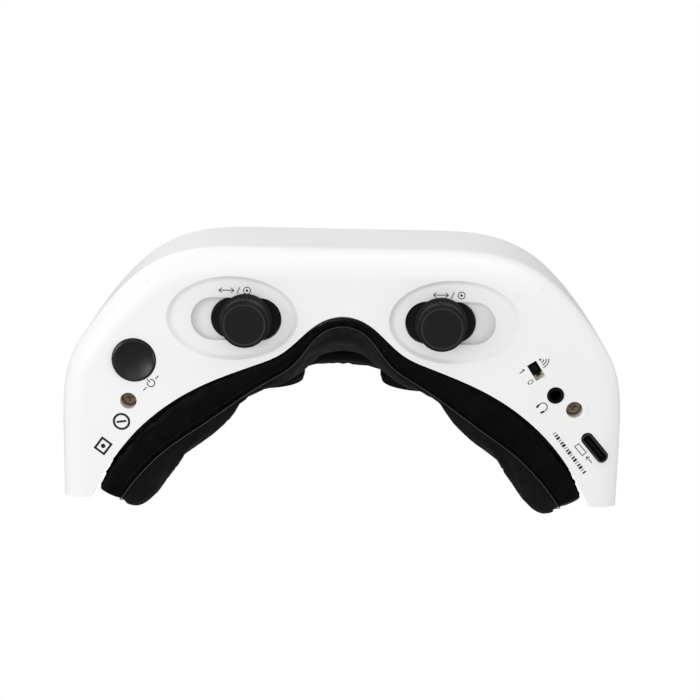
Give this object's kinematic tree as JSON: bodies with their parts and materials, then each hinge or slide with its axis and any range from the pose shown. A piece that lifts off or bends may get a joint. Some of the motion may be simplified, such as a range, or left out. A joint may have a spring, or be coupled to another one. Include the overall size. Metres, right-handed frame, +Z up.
{
  "type": "fpv goggles",
  "caption": "Head-worn video goggles with sliding eye modules, focus knobs, padded face rim, fan, switch and sockets in a white moulded housing.",
  "frame": {"origin": "centre of the bounding box in plan, at the height of the faces of the two focus knobs, which are the lowest faces", "axes": "+Z up as worn, -Y the front away from the wearer, +Y towards the face, +X to the right-hand side in a view from below with the front at the top (sockets side)"},
  "size_m": [0.1904, 0.09, 0.067],
  "materials": {
    "white_shell": "satin-gloss moulded white",
    "black_plastic": "fine matt moulded",
    "soft_black": "soft-touch matt",
    "face_foam": "leatherette over foam",
    "rubber": "matt rubber",
    "steel": "plated",
    "brass": "gold-plated",
    "circuit_board": "solder mask",
    "display_glass": "glossy panel",
    "lens_glass": "clear coated"
  },
  "bodies": {
    "headset": {"bottom_shell": "white_shell", "top_shell": "white_shell", "faceplate": "black_plastic", "face_foam": "face_foam", "guide_rod_lower": "steel", "guide_rod_upper": "steel", "power_board": "circuit_board", "power_switch": "black_plastic", "io_board": "circuit_board", "receiver_switch_body": "steel", "headphone_jack": "black_plastic", "video_port_shell": "steel", "video_port_tongue": "black_plastic", "shell_screws": "steel", "main_board": "circuit_board", "main_board_chips": "black_plastic", "main_board_screws": "steel", "receiver_board": "circuit_board", "receiver_shield": "steel", "antenna_jack": "brass", "button_board": "circuit_board", "button_switches": "black_plastic", "thumb_wheel_bracket": "steel", "power_inlet": "black_plastic", "av_inlet": "black_plastic", "fan_housing": "black_plastic"},
    "ipd_left": {"ipd_carriage_left": "black_plastic", "display_panel_left": "display_glass", "ipd_slider_plate_left": "black_plastic"},
    "knob_left": {"focus_knob_left": "soft_black", "focus_pinion_left": "brass"},
    "optics_left": {"lens_barrel_left": "black_plastic", "rear_lens_left": "lens_glass", "front_lens_left": "lens_glass", "eyecup_left": "rubber"},
    "ipd_right": {"ipd_carriage_right": "black_plastic", "display_panel_right": "display_glass", "ipd_slider_plate_right": "black_plastic"},
    "knob_right": {"focus_knob_right": "soft_black", "focus_pinion_right": "brass"},
    "optics_right": {"lens_barrel_right": "black_plastic", "rear_lens_right": "lens_glass", "front_lens_right": "lens_glass", "eyecup_right": "rubber"},
    "power_button": {"power_button": "black_plastic"},
    "receiver_switch": {"receiver_switch_slider": "black_plastic"},
    "channel_button": {"channel_button": "white_shell"},
    "mode_button": {"mode_button": "white_shell"},
    "thumb_wheel": {"thumb_wheel": "black_plastic"},
    "fan_rotor": {"fan_rotor": "black_plastic"}
  },
  "joints": [
    {"name": "ipd_slide_left", "type": "slide", "parent": "headset", "child": "ipd_left", "axis": [-1, 0, 0], "range_m": [0, 0.0063]},
    {"name": "focus_turn_left", "type": "hinge", "parent": "ipd_left", "child": "knob_left", "pos_m": [-0.0324, -0.0217, 0], "axis": [0, 0, 1], "range_deg": [-36, 36]},
    {"name": "focus_slide_left", "type": "slide", "parent": "ipd_left", "child": "optics_left", "axis": [0, 1, 0], "range_m": [-0.0025, 0.0025]},
    {"name": "ipd_slide_right", "type": "slide", "parent": "headset", "child": "ipd_right", "axis": [1, 0, 0], "range_m": [0, 0.0063]},
    {"name": "focus_turn_right", "type": "hinge", "parent": "ipd_right", "child": "knob_right", "pos_m": [0.0324, -0.0217, 0], "axis": [0, 0, 1], "range_deg": [-36, 36]},
    {"name": "focus_slide_right", "type": "slide", "parent": "ipd_right", "child": "optics_right", "axis": [0, 1, 0], "range_m": [-0.0025, 0.0025]},
    {"name": "power_press", "type": "slide", "parent": "headset", "child": "power_button", "axis": [0, 0, 1], "range_m": [0, 0.0008], "stiffness_N_per_m": 1500},
    {"name": "receiver_switch_slide", "type": "slide", "parent": "headset", "child": "receiver_switch", "axis": [0.5446, 0.8387, 0], "range_m": [0, 0.0022]},
    {"name": "channel_press", "type": "slide", "parent": "headset", "child": "channel_button", "axis": [0, 0, -1], "range_m": [0, 0.0008], "stiffness_N_per_m": 1500},
    {"name": "mode_press", "type": "slide", "parent": "headset", "child": "mode_button", "axis": [0, 0, -1], "range_m": [0, 0.0008], "stiffness_N_per_m": 1500},
    {"name": "thumb_wheel_turn", "type": "hinge", "parent": "headset", "child": "thumb_wheel", "pos_m": [-0.05, -0.016, 0.0594], "axis": [0, 1, 0], "continuous": true},
    {"name": "fan_spin", "type": "hinge", "parent": "headset", "child": "fan_rotor", "pos_m": [0, -0.036, 0.036], "axis": [0, 1, 0], "continuous": true}
  ],
  "couplings": [
    {"joint": "focus_slide_left", "follows": "focus_turn_left", "m_per_rad": 0.0039},
    {"joint": "focus_slide_right", "follows": "focus_turn_right", "m_per_rad": -0.0039}
  ]
}
